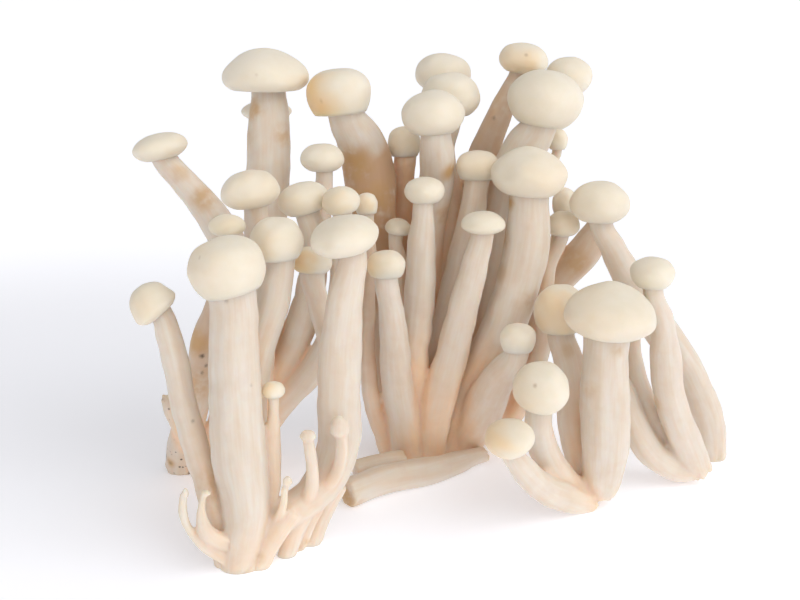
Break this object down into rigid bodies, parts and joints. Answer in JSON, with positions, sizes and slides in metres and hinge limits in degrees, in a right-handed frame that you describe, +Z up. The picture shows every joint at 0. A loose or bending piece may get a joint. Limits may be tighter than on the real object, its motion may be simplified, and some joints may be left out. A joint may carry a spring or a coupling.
{
  "type": "beech mushroom cluster",
  "caption": "Cluster of pale beech mushrooms standing on their cut ends: rounded ivory caps on long fused stems that spread from several feet.",
  "frame": {"origin": "on the surface the cluster stands on, under the middle of its bounding box", "axes": "+Z up, +X along the length of the cluster, -Y towards its lower front clumps"},
  "size_m": [0.14, 0.0944, 0.099],
  "materials": {
    "cap_skin": "matt ivory cream mushroom skin with warmer yellow-tan patches and paler gills below",
    "stem_flesh": "satin whitish beige mushroom flesh with fine lengthwise fibres and faint tan bruises"
  },
  "bodies": {
    "root": {"cap_back_left_1": "cap_skin", "cap_back_left_2": "cap_skin", "cap_back_left_3": "cap_skin", "cap_back_left_4": "cap_skin", "cap_back_left_5": "cap_skin", "cap_back_left_6": "cap_skin", "cap_back_left_7": "cap_skin", "cap_back_left_8": "cap_skin", "cap_back_middle_1": "cap_skin", "cap_back_middle_2": "cap_skin", "cap_back_middle_3": "cap_skin", "cap_back_middle_4": "cap_skin", "cap_back_middle_5": "cap_skin", "cap_back_middle_6": "cap_skin", "cap_back_right_1": "cap_skin", "cap_back_right_2": "cap_skin", "cap_back_right_3": "cap_skin", "cap_back_right_4": "cap_skin", "cap_back_right_5": "cap_skin", "cap_back_right_6": "cap_skin", "cap_far_right_1": "cap_skin", "cap_front_left_1": "cap_skin", "cap_front_left_2": "cap_skin", "cap_front_left_3": "cap_skin", "cap_front_left_4": "cap_skin", "cap_front_left_5": "cap_skin", "cap_front_left_6": "cap_skin", "cap_front_right_1": "cap_skin", "cap_front_right_2": "cap_skin", "cap_front_right_3": "cap_skin", "cap_front_right_4": "cap_skin", "cap_middle_1": "cap_skin", "cap_middle_2": "cap_skin", "cap_middle_3": "cap_skin", "cap_middle_4": "cap_skin", "cap_middle_5": "cap_skin", "cap_middle_6": "cap_skin", "cap_middle_7": "cap_skin", "cap_middle_8": "cap_skin", "cap_right_1": "cap_skin", "cap_right_2": "cap_skin", "cap_right_3": "cap_skin", "stems_back_left": "stem_flesh", "stems_back_middle": "stem_flesh", "stems_back_right": "stem_flesh", "stems_far_right": "stem_flesh", "stems_front_left": "stem_flesh", "stems_front_right": "stem_flesh", "stems_lying_long": "stem_flesh", "stems_lying_short": "stem_flesh", "stems_middle": "stem_flesh", "stems_right": "stem_flesh"}
  },
  "joints": []
}
